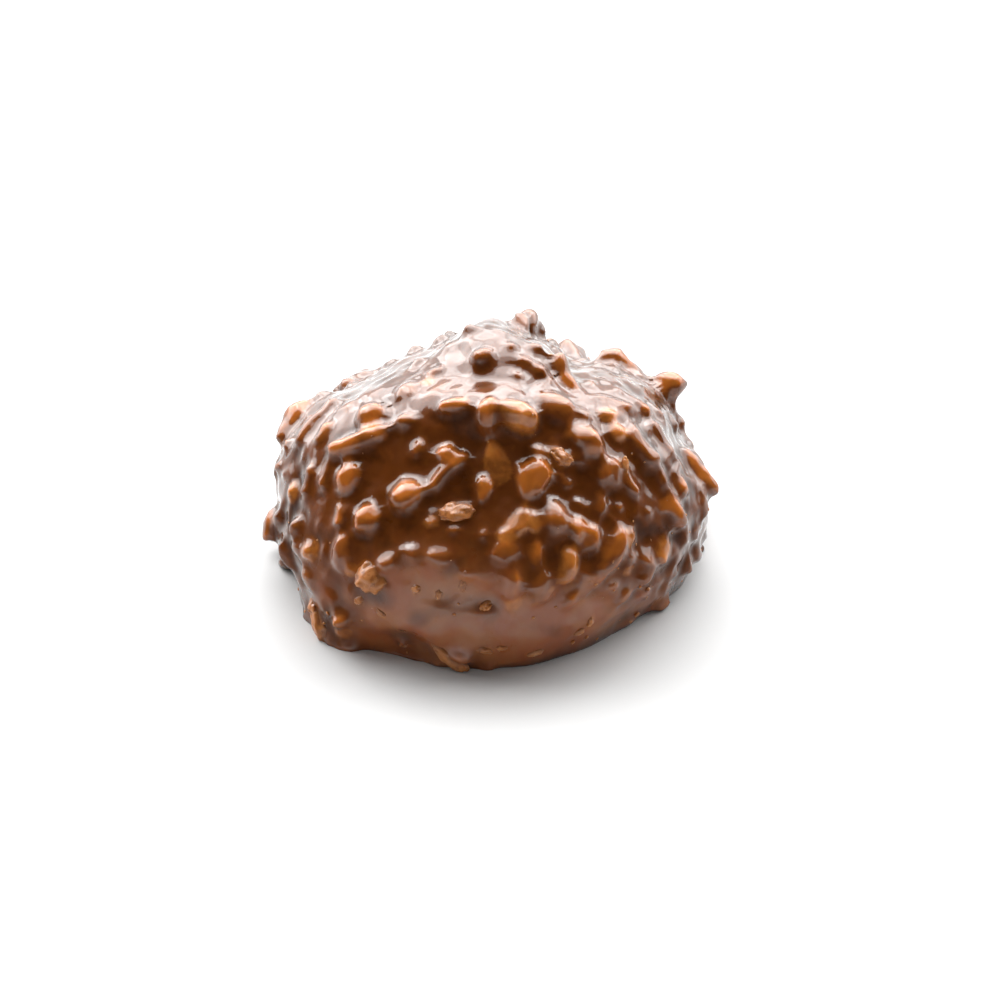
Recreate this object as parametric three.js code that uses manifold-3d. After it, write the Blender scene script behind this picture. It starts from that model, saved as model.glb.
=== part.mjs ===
// A chocolate haystack: one free-standing sweet, a mound of chopped nuts and wafer flakes bound and
// coated with milk chocolate. It is one solid: a core with the coated pieces that stand out of it fused on.
// Millimetres. +Z is up, the flat underside lies on z = 0, and the front faces -Y.
import * as THREE from "three";
import { ConvexGeometry } from "three/addons/geometries/ConvexGeometry.js";
import { mergeVertices } from "three/addons/utils/BufferGeometryUtils.js";
import Module from "manifold-3d";

const { degToRad, radToDeg, clamp } = THREE.MathUtils;
const vector = (x, y, z) => new THREE.Vector3(x, y, z);

// ---- Sizes of the core

// Radii of the core from its heart, by climb above the heart's level and by bearing, in degrees.
// Bearings run anticlockwise from above and start at the right: 90 is the back, 270 the front.
const HEART = vector(0, 0, 5);
const CORE_DETAIL = 8; // subdivisions of the core's icosahedron
const BEARING_STEP = 45;
const PEAK_RADIUS = 15.6;
const BELTS = [
  //                      right        back         left         front
  { climb: -20, radii: [17.8, 17.2, 17.0, 17.5, 17.6, 19.6, 18.0, 17.0] }, // foot
  { climb: 10, radii: [17.4, 16.6, 15.8, 16.5, 18.2, 17.9, 17.0, 16.8] }, // waist
  { climb: 35, radii: [15.6, 14.4, 14.0, 13.8, 16.4, 16.5, 16.0, 15.8] }, // shoulder
  { climb: 60, radii: [14.1, 13.3, 13.9, 12.9, 13.9, 14.7, 15.5, 14.7] }, // crown
];

// ---- Sizes and places of the pieces

// The front view that the first pieces are placed in: from above the front, centred on SIGHT_AIM.
const EYE_CLIMB = 35;
const EYE_DISTANCE = 300;
const SIGHT_AIM = vector(0, 0, 5);
const SIGHT_SPAN = 30; // a sight line is followed this far before and behind the middle of the view
const SIGHT_STEP = 0.1;
const HOLD = 0.2; // a piece's middle may stand off the skyline by this share of its width

// Each row: place across and up from the middle of the view, length, width, turn of the length from
// level in degrees, and share of the width that stands proud.
const LUMPS = [
  [-1.0, 11.4, 2.4, 2.0, 0, 0.6],
  [11.6, 10.2, 2.6, 2.3, 0, 0.5],
  [7.6, 9.5, 2.2, 2.0, 0, 0.4],
  [-10.0, 6.4, 2.5, 2.1, 0, 0.5],
  [-7.2, 5.9, 1.6, 1.5, 0, 0.4],
  [-12.3, 1.1, 2.7, 2.0, 100, 0.6],
  [-8.1, 0.3, 2.8, 2.4, 0, 0.6],
  [-1.0, 0.4, 2.6, 1.5, 90, 0.6],
  [5.4, -2.9, 4.2, 3.4, 90, 0.5],
  [9.3, 1.6, 3.2, 2.8, 0, 0.5],
  [3.3, 1.7, 3.8, 2.9, 80, 0.65],
  [7.5, 4.1, 3.3, 2.5, -20, 0.6],
  [8.1, -3.8, 2.3, 1.5, 90, 0.6],
  [-12.6, -5.0, 2.5, 1.8, 80, 0.5],
  [-15.5, -6.8, 2.2, 2.0, 0, 0.4],
  [3.0, -6.5, 2.5, 2.0, 70, 0.45],
  [-4.4, 12.2, 1.5, 1.2, 0, 0.4],
  [-8.9, 11.2, 1.4, 1.2, 0, 0.4],
  [11.9, 3.8, 3.6, 1.9, -50, 0.55],
  [14.7, -1.0, 3.7, 2.4, -50, 0.5],
  [5.2, 6.9, 2.4, 1.8, 60, 0.7],
  [1.1, -4.5, 2.4, 1.9, 0, 0.45],
];
const NUTS = [
  [14.6, 9.3, 3.0, 2.0, 20, 0.6],
  [9.8, 11.6, 2.6, 1.3, 0, 0.7],
  [-16.8, 6.6, 2.9, 2.6, 50, 0.5],
  [-18.6, -2.2, 2.7, 1.6, 90, 0.6],
  [-10.7, -2.0, 2.7, 2.5, 0, 0.6],
  [2.3, 6.2, 3.4, 2.8, -30, 0.7],
  [-3.2, -1.5, 2.9, 1.8, 0, 0.6],
  [-15.1, -4.5, 2.0, 1.8, 0, 0.5],
  [-10.2, -6.8, 2.8, 2.3, -20, 0.5],
  [-14.2, -10.8, 3.4, 2.6, 120, 0.5],
  [-12.2, -12.7, 2.4, 1.5, 0, 0.5],
  [13.9, -4.6, 2.6, 2.3, 60, 0.55],
  [9.6, 5.8, 2.4, 1.5, -60, 0.7],
  [15.9, -5.8, 2.2, 1.3, -60, 0.5],
  [-17.0, 0.3, 1.8, 1.4, 80, 0.5],
  [11.0, -4.7, 4.0, 2.3, 75, 0.5],
  [15.3, 0.7, 2.0, 1.4, 90, 0.5],
  [17.2, -2.2, 1.8, 1.3, -60, 0.5],
  [-15.0, 9.0, 1.6, 1.3, 30, 0.4],
  [-17.6, 3.4, 2.4, 1.5, 80, 0.5],
  [16.6, -0.4, 3.8, 2.6, 80, 0.5],
];
const SLIVERS = [
  [-11.3, 4.1, 4.9, 1.2, 12, 0.75],
  [-3.5, 6.9, 2.9, 1.3, -5, 0.7],
  [-3.9, 1.9, 4.9, 1.7, 50, 0.7],
  [11.2, 7.7, 3.7, 1.4, -20, 0.6],
  [1.6, -2.9, 4.2, 1.6, 50, 0.7],
  [6.9, -3.2, 2.6, 1.3, 85, 0.7],
  [6.1, -5.9, 2.9, 1.3, 75, 0.5],
  [1.2, -7.3, 3.4, 1.4, 90, 0.45],
  [3.1, 10.5, 2.5, 1.1, 0, 0.6],
  [4.1, 11.5, 2.0, 1.2, -35, 0.6],
  [-7.9, -5.6, 2.3, 1.3, -10, 0.4],
  [-4.0, -5.3, 2.6, 1.4, 0, 0.4],
  [-14.2, 4.7, 1.8, 1.1, 50, 0.5],
  [17.0, 2.1, 5.2, 1.8, -50, 0.6],
  [-3.3, -13.4, 3.8, 1.6, -35, 0.5],
];
const FLAKES = [
  [0.6, 2.3, 4.4, 2.3, -65, 0.6],
  [-0.5, 6.2, 2.7, 1.7, 70, 0.7],
  [2.2, 14.2, 2.0, 1.2, 110, 0.9],
  [3.1, 14.3, 2.2, 1.2, 80, 0.9],
  [5.6, 9.8, 2.8, 1.4, 80, 0.9],
  [5.5, 3.2, 1.5, 1.1, 30, 0.9],
  [-8.0, -12.8, 1.3, 1.0, 90, 0.6],
  [13.6, -9.1, 1.3, 0.9, 30, 0.7],
  [-15.0, -9.0, 1.4, 1.0, 60, 0.6],
];

// Strays fill the rest of the mound, largest first.
const STRAY_LENGTHS = [4.6, 3.8, 3.0, 2.3];
const STRAY_TRIES = 420; // draws of a place for each of the lengths
const STRAY_REACH = 0.36; // two pieces keep apart by this share of their lengths, and by SPACING
const SPACING = 0.5;
const LOWEST_STRAY = 0.3;
const FRONT_LENGTH = 3.8; // longest stray among the pieces placed in the front view
const FRONT_LIFT = 0.55; // how far those strays swell out of the coat
const SKYLINE_LIFT = 0.3; // and how far where they would change the skyline
const SKYLINE = 0.3; // the skyline is where the surface faces the eye less squarely than this
const SKIRT_HEIGHT = 8; // the foot of the front is smooth up to here
const SEED = 29;

// ---- Random numbers, repeatable

let drawn = SEED;
function draw(from = 0, to = 1) {
  drawn = (drawn * 48271) % 2147483647;
  return from + ((to - from) * drawn) / 2147483647;
}

// ---- The core

// Cubic through b and c, a share s of the way, with a and d beyond them.
function between(a, b, c, d, s) {
  const bend = 2 * a - 5 * b + 4 * c - d;
  const twist = 3 * (b - c) + d - a;
  return b + 0.5 * s * (c - a + s * (bend + s * twist));
}

function beltRadius(radii, bearing) {
  const turns = (bearing / BEARING_STEP + 2 * radii.length) % radii.length;
  const from = Math.floor(turns);
  const at = (k) => radii[(from + k + radii.length) % radii.length];
  return between(at(-1), at(0), at(1), at(2), turns - from);
}

// Distance from the heart to the core's surface in a unit direction.
function coreRadius(towards) {
  const bearing = radToDeg(Math.atan2(towards.y, towards.x));
  const climb = radToDeg(Math.asin(clamp(towards.z, -1, 1)));
  const crown = BELTS.length - 1;
  const ring = (k) => {
    if (k > crown + 1) return beltRadius(BELTS[crown].radii, bearing + 180); // over the peak
    if (k > crown) return PEAK_RADIUS;
    return beltRadius(BELTS[Math.max(0, k)].radii, bearing);
  };
  const climbs = [...BELTS.map((belt) => belt.climb), 90];
  let k = 0;
  while (k < crown && climb > climbs[k + 1]) k++;
  const share = Math.max(0, (climb - climbs[k]) / (climbs[k + 1] - climbs[k]));
  return between(ring(k - 1), ring(k), ring(k + 1), ring(k + 2), share);
}

// How far a point stands outside the core, along its own line from the heart.
function outside(point) {
  const out = point.clone().sub(HEART);
  return out.length() - coreRadius(out.clone().normalize());
}

// The core's outward direction at a point, from how fast each way leads out of the core.
function outwardAt(point) {
  const reach = 0.3;
  const rise = (x, y, z) => outside(point.clone().add(vector(x, y, z).multiplyScalar(reach)));
  return vector(
    rise(1, 0, 0) - rise(-1, 0, 0),
    rise(0, 1, 0) - rise(0, -1, 0),
    rise(0, 0, 1) - rise(0, 0, -1),
  ).normalize();
}

function moveEachVertex(geometry, move) {
  const places = geometry.getAttribute("position");
  const point = vector();
  for (let i = 0; i < places.count; i++) {
    move(point.fromBufferAttribute(places, i));
    places.setXYZ(i, point.x, point.y, point.z);
  }
  return geometry;
}

function coreGeometry() {
  return moveEachVertex(new THREE.IcosahedronGeometry(1, CORE_DETAIL), (point) => {
    point.normalize();
    point.multiplyScalar(coreRadius(point)).add(HEART);
  });
}

// ---- Shapes of piece, each along X with Z out of the core, and unequal as chopped nuts are

// A rounded nut under a thick coat.
const SMALL_LUMP = 2.3; // below this length it has fewer sides
function lump(length, width) {
  const Round = length < SMALL_LUMP ? THREE.OctahedronGeometry : THREE.IcosahedronGeometry;
  const lean = vector(draw(-1, 1), draw(-1, 1), draw(-1, 1)).normalize();
  const bulge = draw(0.1, 0.25);
  return moveEachVertex(new Round(1, 1), (point) => {
    point.multiplyScalar(1 - bulge + 1.4 * bulge * Math.abs(point.dot(lean)));
    point.multiply(vector(length / 2, width / 2, width / 2));
  });
}

// A chopped nut with flat cut faces.
const NUT_CORNERS = 11;
const GOLDEN_ANGLE = 2.4; // turns each corner away from the ones before, so that no side is bare
function nut(length, width) {
  const corners = [];
  for (let k = 0; k < NUT_CORNERS; k++) {
    const along = 1 - (2 * (k + 0.5)) / NUT_CORNERS;
    const around = k * GOLDEN_ANGLE + draw(-0.35, 0.35);
    const reach = Math.sqrt(1 - along * along) * draw(0.85, 1.15);
    const corner = vector(along, Math.cos(around) * reach, Math.sin(around) * reach);
    corners.push(corner.multiply(vector(length / 2, width / 2, width / 2)));
  }
  return new ConvexGeometry(corners);
}

// A long sliver, bent to one side, with tapered ends.
const SLIVER_SIDES = 6;
const SLIVER_BEND = 0.12; // how far the ends lie off the middle, as a share of the length
const SLIVER_TAPER = 0.3;
function sliver(length, width) {
  const rod = new THREE.CapsuleGeometry(width / 2, length - width, 2, SLIVER_SIDES);
  const bend = (draw() < 0.5 ? -1 : 1) * SLIVER_BEND * length;
  return moveEachVertex(rod.rotateZ(Math.PI / 2), (point) => {
    const along = point.x / (length / 2);
    const thickness = 1.1 - SLIVER_TAPER * along * along;
    point.multiply(vector(1, thickness, thickness));
    point.y += bend * (along * along - 0.5);
  });
}

// A broken wafer flake: a thin plate that narrows to a point at one end.
const FLAKE_THICKNESS = 0.45; // share of its width
const FLAKE_OUTLINE = [ // place along the length, and half width there as a share of the half width
  [-0.5, 0.8],
  [0, 1],
  [0.36, 0.6],
  [0.5, 0.1],
];
function flake(length, width) {
  const corners = [];
  for (const [along, reach] of FLAKE_OUTLINE) {
    for (const [side, face] of [[-1, -1], [-1, 1], [1, -1], [1, 1]]) {
      const x = along * length * draw(0.9, 1.1);
      const y = (side * reach * width * draw(0.85, 1.15)) / 2;
      const z = (face * (0.3 + reach) * width * FLAKE_THICKNESS) / 2;
      corners.push(vector(x, y, z));
    }
  }
  return new ConvexGeometry(corners);
}

// ---- Joining

const wasm = await Module();
wasm.setup();

function solidOf(geometry) {
  const bare = geometry.clone();
  bare.deleteAttribute("normal");
  bare.deleteAttribute("uv");
  const merged = mergeVertices(bare, 1e-4);
  return new wasm.Manifold(
    new wasm.Mesh({
      numProp: 3,
      vertProperties: merged.getAttribute("position").array,
      triVerts: new Uint32Array(merged.index.array),
    }),
  );
}

function geometryOf(solid) {
  const mesh = solid.getMesh();
  return new THREE.BufferGeometry()
    .setAttribute("position", new THREE.BufferAttribute(mesh.vertProperties, 3))
    .setIndex(new THREE.BufferAttribute(mesh.triVerts, 1));
}

// ---- Placing

const solids = [solidOf(coreGeometry())];
const taken = []; // place and length of each piece so far

// Puts a piece at a place, its Z along out and its length turned from the level direction.
function put(geometry, place, level, out, turn) {
  const up = vector().crossVectors(out, level).normalize();
  const side = vector().crossVectors(up, out).normalize();
  geometry.rotateZ(degToRad(turn));
  geometry.applyMatrix4(new THREE.Matrix4().makeBasis(side, up, out));
  geometry.translate(place.x, place.y, place.z);
  solids.push(solidOf(geometry));
}

const eyeClimb = degToRad(EYE_CLIMB);
const toEye = vector(0, -Math.cos(eyeClimb), Math.sin(eyeClimb));
const across = vector(1, 0, 0);
const upwards = vector().crossVectors(toEye, across);
const eye = SIGHT_AIM.clone().addScaledVector(toEye, EYE_DISTANCE);

// Where a sight line meets the core, or where it comes nearest to it.
function seenAt(right, high) {
  const aim = SIGHT_AIM.clone().addScaledVector(across, right).addScaledVector(upwards, high);
  const line = new THREE.Ray(eye, aim.sub(eye).normalize());
  let nearest = line.at(EYE_DISTANCE - SIGHT_SPAN, vector());
  for (let t = EYE_DISTANCE - SIGHT_SPAN; t < EYE_DISTANCE + SIGHT_SPAN; t += SIGHT_STEP) {
    const point = line.at(t, vector());
    if (outside(point) < outside(nearest)) nearest = point;
    if (outside(nearest) <= 0) break;
  }
  return nearest;
}

function putSeen(shape, rows) {
  for (const [right, high, length, width, turn, proud] of rows) {
    const place = seenAt(right, high);
    const loose = Math.max(0, outside(place) - HOLD * width);
    const lift = (proud - 0.5) * width - loose;
    const middle = place.clone().addScaledVector(outwardAt(place), lift);
    put(shape(length, width), middle, across, toEye, turn);
    taken.push({ place, length });
  }
}

function putStray(length) {
  const towards = vector(draw(-1, 1), draw(-1, 1), draw(-0.3, 1)).normalize();
  const place = HEART.clone().addScaledVector(towards, coreRadius(towards));
  const clear = (piece) =>
    piece.place.distanceTo(place) > STRAY_REACH * (piece.length + length) + SPACING;
  if (place.z < LOWEST_STRAY || !taken.every(clear)) return;
  const out = outwardAt(place);
  const facing = out.dot(toEye);
  const inView = facing > -SKYLINE;
  const onSkirt = out.y < -0.5 && place.z < SKIRT_HEIGHT;
  if (inView && (onSkirt || length > FRONT_LENGTH)) return;
  const kinds = [lump, nut, nut, sliver, flake];
  const shape = inView ? lump : kinds[Math.floor(draw(0, kinds.length))];
  const width = length * (shape === sliver ? draw(0.3, 0.45) : draw(0.55, 0.9));
  const freeLift = draw(0.35, 0.65) * width;
  const viewLift = facing < SKYLINE ? SKYLINE_LIFT : FRONT_LIFT;
  const lift = inView ? viewLift : freeLift;
  const middle = place.clone().addScaledVector(out, lift - width / 2);
  const level = vector(-out.y, out.x, 0).normalize();
  put(shape(length * draw(0.9, 1.1), width), middle, level, out, draw(0, 180));
  taken.push({ place, length });
}

putSeen(lump, LUMPS);
putSeen(nut, NUTS);
putSeen(sliver, SLIVERS);
putSeen(flake, FLAKES);
for (const length of STRAY_LENGTHS) {
  for (let n = 0; n < STRAY_TRIES; n++) putStray(length);
}

// ---- The sweet, cut off flat underneath and centred over its origin

const aboveGround = new THREE.BoxGeometry(80, 80, 40).translate(0, 0, 20);
const mound = wasm.Manifold.union(solids).intersect(solidOf(aboveGround));
const box = mound.boundingBox();
const centred = mound.translate(
  -(box.min[0] + box.max[0]) / 2,
  -(box.min[1] + box.max[1]) / 2,
  0,
);

const haystack = new THREE.Mesh(
  geometryOf(centred),
  new THREE.MeshStandardMaterial({ color: 0x6b4027, roughness: 0.35, metalness: 0 }),
);
haystack.name = "haystack";

const group = new THREE.Group();
group.add(haystack);

export default group;
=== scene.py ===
"""Looks of a chocolate haystack: milk chocolate set over chopped nuts and wafer flakes."""
import math
import random

import bmesh
import bpy
import numpy as np
from bpy.props import FloatProperty, FloatVectorProperty, IntProperty, PointerProperty
from mathutils import Matrix, Vector, noise
from mathutils.bvhtree import BVHTree


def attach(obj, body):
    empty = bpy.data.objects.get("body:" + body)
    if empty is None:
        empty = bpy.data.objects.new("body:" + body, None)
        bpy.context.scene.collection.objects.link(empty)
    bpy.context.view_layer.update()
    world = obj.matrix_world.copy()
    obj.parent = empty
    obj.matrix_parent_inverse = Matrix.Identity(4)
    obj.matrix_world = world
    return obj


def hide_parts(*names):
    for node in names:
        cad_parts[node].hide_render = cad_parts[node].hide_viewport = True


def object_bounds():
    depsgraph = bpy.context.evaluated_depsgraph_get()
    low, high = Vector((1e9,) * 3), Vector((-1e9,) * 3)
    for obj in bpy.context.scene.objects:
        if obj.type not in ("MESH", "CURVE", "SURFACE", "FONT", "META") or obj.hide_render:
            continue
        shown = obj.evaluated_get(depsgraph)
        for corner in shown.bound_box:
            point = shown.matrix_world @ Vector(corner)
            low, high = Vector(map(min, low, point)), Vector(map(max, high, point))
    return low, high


bl_info = {
    "name": "Chocolate Haystack",
    "version": (1, 0, 0),
    "blender": (4, 5, 0),
    "location": "View3D > Sidebar > Haystack",
    "description": "Makes the coat, nuts, flakes and crumbs of a chocolate haystack, and its studio",
    "category": "Object",
}

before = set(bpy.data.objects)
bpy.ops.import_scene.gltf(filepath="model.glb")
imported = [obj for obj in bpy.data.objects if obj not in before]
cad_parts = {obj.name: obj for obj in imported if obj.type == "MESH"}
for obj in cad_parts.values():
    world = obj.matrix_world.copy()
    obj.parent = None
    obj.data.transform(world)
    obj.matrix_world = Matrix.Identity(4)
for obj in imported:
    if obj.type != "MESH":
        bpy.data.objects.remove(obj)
CAD_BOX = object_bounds()
CAD_NODE = "haystack"
BODY = "root"

MM = 0.001

# The core under the coat: its radii from the heart in millimetres, by climb and bearing in degrees, as in
# the solid. Bearings run anticlockwise from the right, so 270 is the front.
SHIFT = Vector((0.09, 0.53, 0)) * MM  # the solid is centred over its origin by this move
HEART = Vector((0, 0, 5)) * MM + SHIFT
PEAK_RADIUS = 15.6
BELT_CLIMBS = (-20, 10, 35, 60)
BELT_RADII = (
    (17.8, 17.2, 17.0, 17.5, 17.6, 19.6, 18.0, 17.0),
    (17.4, 16.6, 15.8, 16.5, 18.2, 17.9, 17.0, 16.8),
    (15.6, 14.4, 14.0, 13.8, 16.4, 16.5, 16.0, 15.8),
    (14.1, 13.3, 13.9, 12.9, 13.9, 14.7, 15.5, 14.7),
)

# The front view, in which the pieces that show are placed.
EYE_CLIMB = math.radians(35)
EYE_DISTANCE = 300 * MM
VIEW_WIDTH = 82.5 * MM
AIM = Vector((0, 0, 5)) * MM + SHIFT
SENSOR = 36.0
TO_EYE = Vector((0, -math.cos(EYE_CLIMB), math.sin(EYE_CLIMB)))
ACROSS = Vector((1, 0, 0))
UPWARDS = TO_EYE.cross(ACROSS)
EYE = AIM + TO_EYE * EYE_DISTANCE


# ---------------------------------------------------------------- settings

class HAYSTACK_PG_coat(bpy.types.PropertyGroup):
    """The milk chocolate."""

    grain: FloatProperty(
        name="Grain", description="Size of the finest relief in the coat's mesh",
        default=0.18 * MM, unit="LENGTH", precision=6)
    pool: FloatProperty(
        name="Pool", description="Depth of the chocolate that fills the gaps between the pieces",
        default=0.5 * MM, unit="LENGTH", precision=6)
    melt: IntProperty(
        name="Melt", description="Rounds of smoothing that round the pieces under the coat", default=3)
    faces: IntProperty(name="Faces", description="Most triangles in the coat", default=195000)
    nuggets: IntProperty(
        name="Nuggets", description="Coated nut pieces scattered between the large ones", default=440)
    ripple: FloatProperty(
        name="Ripple", description="Height of the waves in the set chocolate",
        default=0.06 * MM, unit="LENGTH", precision=6)
    # Painted shade: the chocolate of the hollows is painted dark where shade falls.
    hollow_shade: FloatVectorProperty(
        name="Deep", description="Chocolate in the hollows", subtype="COLOR",
        default=(0.031, 0.0072, 0.0008))
    plain: FloatVectorProperty(
        name="Plain", description="Chocolate where it lies thick", subtype="COLOR",
        default=(0.122, 0.0305, 0.0036))
    # Painted light: the smooth chocolate of the skirt is painted lighter and redder for the light that the
    # white floor throws and reflects onto it.
    milk: FloatVectorProperty(
        name="Milk", description="Chocolate where it lies thick and smooth", subtype="COLOR",
        default=(0.30, 0.100, 0.029))
    thin: FloatVectorProperty(
        name="Thin", description="Chocolate where a nut shows through", subtype="COLOR",
        default=(0.42, 0.118, 0.0135))
    # Painted shade: the sides turned away from the front view are painted darker to hold back the strong
    # light from behind.
    far_side_shade: FloatVectorProperty(
        name="Far", description="Chocolate of the sides away from the front view", subtype="COLOR",
        default=(0.072, 0.0285, 0.0102))


class HAYSTACK_PG_pieces(bpy.types.PropertyGroup):
    """The nuts, flakes and crumbs that show through."""

    nut: FloatVectorProperty(
        name="Nut", description="Roasted nut", subtype="COLOR", default=(0.42, 0.150, 0.036))
    wafer: FloatVectorProperty(
        name="Wafer", description="Baked wafer flake", subtype="COLOR", default=(0.42, 0.150, 0.036))
    crumbs: IntProperty(name="Crumbs", description="Crumbs over the whole coat", default=520)


class HAYSTACK_PG_stage(bpy.types.PropertyGroup):
    """The studio."""

    floor_side: FloatProperty(
        name="Floor", description="Side of the floor", default=8.0, unit="LENGTH")
    softbox: FloatProperty(
        name="Softbox", description="Power of the softbox behind and above", default=22.0, unit="POWER")
    diffuser: FloatProperty(
        name="Diffuser", description="Power of the broad light around the softbox", default=160.0,
        unit="POWER")
    backdrop: FloatProperty(
        name="Backdrop", description="Power of the light off the backdrop", default=80.0, unit="POWER")
    overhead: FloatProperty(
        name="Overhead", description="Power of the card above, which only reflections see", default=70.0,
        unit="POWER")
    side_light: FloatProperty(
        name="Side light", description="Power of the softboxes at the sides", default=50.0, unit="POWER")
    fill: FloatProperty(name="Fill", description="Brightness of the room", default=0.24)


# ---------------------------------------------------------------- the core's form

def between(a, b, c, d, s):
    """Cubic through b and c, a share s of the way, with a and d beyond them."""
    bend = 2 * a - 5 * b + 4 * c - d
    twist = 3 * (b - c) + d - a
    return b + 0.5 * s * (c - a + s * (bend + s * twist))


def belt_radius(belt, bearing):
    """Radii of one belt at an array of bearings in degrees."""
    radii = np.array(belt)
    turns = (bearing / (360 / len(radii))) % len(radii)
    start = np.floor(turns).astype(int)
    at = [radii[(start + k) % len(radii)] for k in (-1, 0, 1, 2)]
    return between(*at, turns - start)


def core_radius(towards):
    """Distance from the heart to the core's surface, in metres, in an array of unit directions."""
    bearing = np.degrees(np.arctan2(towards[:, 1], towards[:, 0]))
    climb = np.degrees(np.arcsin(np.clip(towards[:, 2], -1, 1)))
    rings = [belt_radius(BELT_RADII[0], bearing)]
    rings += [belt_radius(belt, bearing) for belt in BELT_RADII]
    rings += [np.full(len(bearing), PEAK_RADIUS), belt_radius(BELT_RADII[-1], bearing + 180)]
    rings = np.array(rings)
    climbs = np.array(BELT_CLIMBS + (90,))
    span = np.clip(np.searchsorted(climbs, climb) - 1, 0, len(climbs) - 2)
    share = np.maximum(0, (climb - climbs[span]) / (climbs[span + 1] - climbs[span]))
    column = np.arange(len(bearing))
    return between(*[rings[span + k, column] for k in range(4)], share) * MM


def outside(points):
    """How far each point stands outside the core, in metres."""
    out = points - np.array(HEART)
    reach = np.linalg.norm(out, axis=1)
    return reach - core_radius(out / reach[:, None])


def core_point(towards):
    """The core's surface point in a unit direction."""
    return HEART + towards * float(core_radius(np.array([towards]))[0])


def core_out(point):
    """The core's outward direction at a point."""
    reach = 0.3 * MM
    steps = np.vstack([np.eye(3), -np.eye(3)]) * reach
    rise = outside(np.array(point) + steps)
    return Vector(rise[:3] - rise[3:]).normalized()


# ---------------------------------------------------------------- meshes

def rising(values, start, end):
    """0 up to the start, 1 from the end on, and even between them."""
    return np.clip((values - start) / (end - start), 0, 1)


def vertex_array(mesh):
    flat = np.empty(len(mesh.vertices) * 3)
    mesh.vertices.foreach_get("co", flat)
    return flat.reshape(-1, 3)


def normal_array(mesh):
    flat = np.empty(len(mesh.vertices) * 3)
    mesh.vertex_normals.foreach_get("vector", flat)
    return flat.reshape(-1, 3)


def new_object(name, mesh):
    piece = bpy.data.objects.new(name, mesh)
    bpy.context.scene.collection.objects.link(piece)
    return piece


def finished(piece, material):
    """Gives a piece its material and its place in the frame."""
    piece.data.materials.clear()
    piece.data.materials.append(material)
    piece.data.polygons.foreach_set("use_smooth", [True] * len(piece.data.polygons))
    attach(piece, BODY)
    return piece


def applied(piece):
    """Replaces a piece's mesh with the one that its modifiers make."""
    bpy.context.view_layer.update()
    graph = bpy.context.evaluated_depsgraph_get()
    mesh = bpy.data.meshes.new_from_object(piece.evaluated_get(graph))
    piece.modifiers.clear()
    old = piece.data
    piece.data = mesh
    bpy.data.meshes.remove(old)
    return mesh


# How each shape is chopped from a ball: number of cuts, nearest cut to the middle, thickness, bend and
# roughness.
SHAPES = {
    "lump": (4, 0.78, 1.0, 0.0, 0.14),
    "chunk": (5, 0.68, 0.9, 0.0, 0.12),
    "sliver": (1, 0.85, 1.0, 0.30, 0.04),
    "flake": (6, 0.55, 0.34, 0.16, 0.20),
    "crumb": (4, 0.65, 0.85, 0.0, 0.30),
}
MAKES = 8  # different makes of each shape


def make_shape(kind, rng, detail):
    """One chopped piece about the origin, two units long and wide."""
    cuts, depth, thickness, bend, rough = SHAPES[kind]
    bm = bmesh.new()
    bmesh.ops.create_icosphere(bm, subdivisions=detail, radius=1.0)
    planes = []
    for _ in range(cuts):
        side = Vector([rng.gauss(0, 1) for _ in range(3)])
        if kind == "flake":
            side.z *= 0.25
        planes.append((side.normalized(), rng.uniform(depth, 0.95)))
    seed = Vector([rng.uniform(-50, 50) for _ in range(3)])
    curve = bend * rng.choice((-1, 1))
    for vert in bm.verts:
        if kind == "sliver":
            blunt = math.sqrt(1 + vert.co.x ** 2 + vert.co.x ** 4)
            vert.co.yz *= blunt
        for side, reach in planes:
            over = vert.co.dot(side) - reach
            if over > 0:
                vert.co -= side * over
        wrinkle = noise.noise(vert.co * 2.2 + seed) + 0.35 * noise.noise(vert.co * 5 + seed)
        vert.co *= 1 + rough * wrinkle
        vert.co.z *= thickness
        arch = curve * (vert.co.x ** 2 - 0.4)
        vert.co.z += arch if kind == "flake" else 0
        vert.co.y += arch if kind == "sliver" else 0
        if kind == "flake":
            vert.co.z += 0.08 * noise.noise(Vector((vert.co.x * 2, vert.co.y * 9, 0)) + seed)
    mesh = bpy.data.meshes.new(kind)
    bm.to_mesh(mesh)
    bm.free()
    return mesh


class Shapes:
    """A stock of chopped shapes that pieces are copied from."""

    def __init__(self, rng, detail):
        self.rng = rng
        self.makes = {kind: [make_shape(kind, rng, detail) for _ in range(MAKES)] for kind in SHAPES}

    def add(self, bm, kind, size, place, out, level, turn):
        """Adds a piece of the given three widths to a mesh, its length turned from level and its top out."""
        piece = self.rng.choice(self.makes[kind]).copy()
        scale = Matrix.Diagonal((*(Vector(size) / 2), 1))
        piece.transform(Matrix.Translation(place) @ basis(out, level, turn) @ scale)
        bm.from_mesh(piece)
        bpy.data.meshes.remove(piece)

    def free(self):
        for makes in self.makes.values():
            for mesh in makes:
                bpy.data.meshes.remove(mesh)


def basis(out, level, turn):
    """Turns X to the level direction, turned by an angle in degrees, and Z to out."""
    up = out.cross(level).normalized()
    side = up.cross(out).normalized()
    return Matrix((side, up, out)).transposed().to_4x4() @ Matrix.Rotation(math.radians(turn), 4, "Z")


# ---------------------------------------------------------------- materials

def new_material(name):
    material = bpy.data.materials.new(name)
    material.use_nodes = True
    return material, material.node_tree, material.node_tree.nodes["Principled BSDF"]


def feed(tree, socket, given):
    """Links a socket to another socket, or sets it to a value."""
    if isinstance(given, bpy.types.NodeSocket):
        tree.links.new(given, socket)
    else:
        socket.default_value = given


def object_place(tree):
    return tree.nodes.new("ShaderNodeTexCoord").outputs["Object"]


def attribute(tree, name):
    node = tree.nodes.new("ShaderNodeAttribute")
    node.attribute_name = name
    return node.outputs["Fac"]


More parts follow.
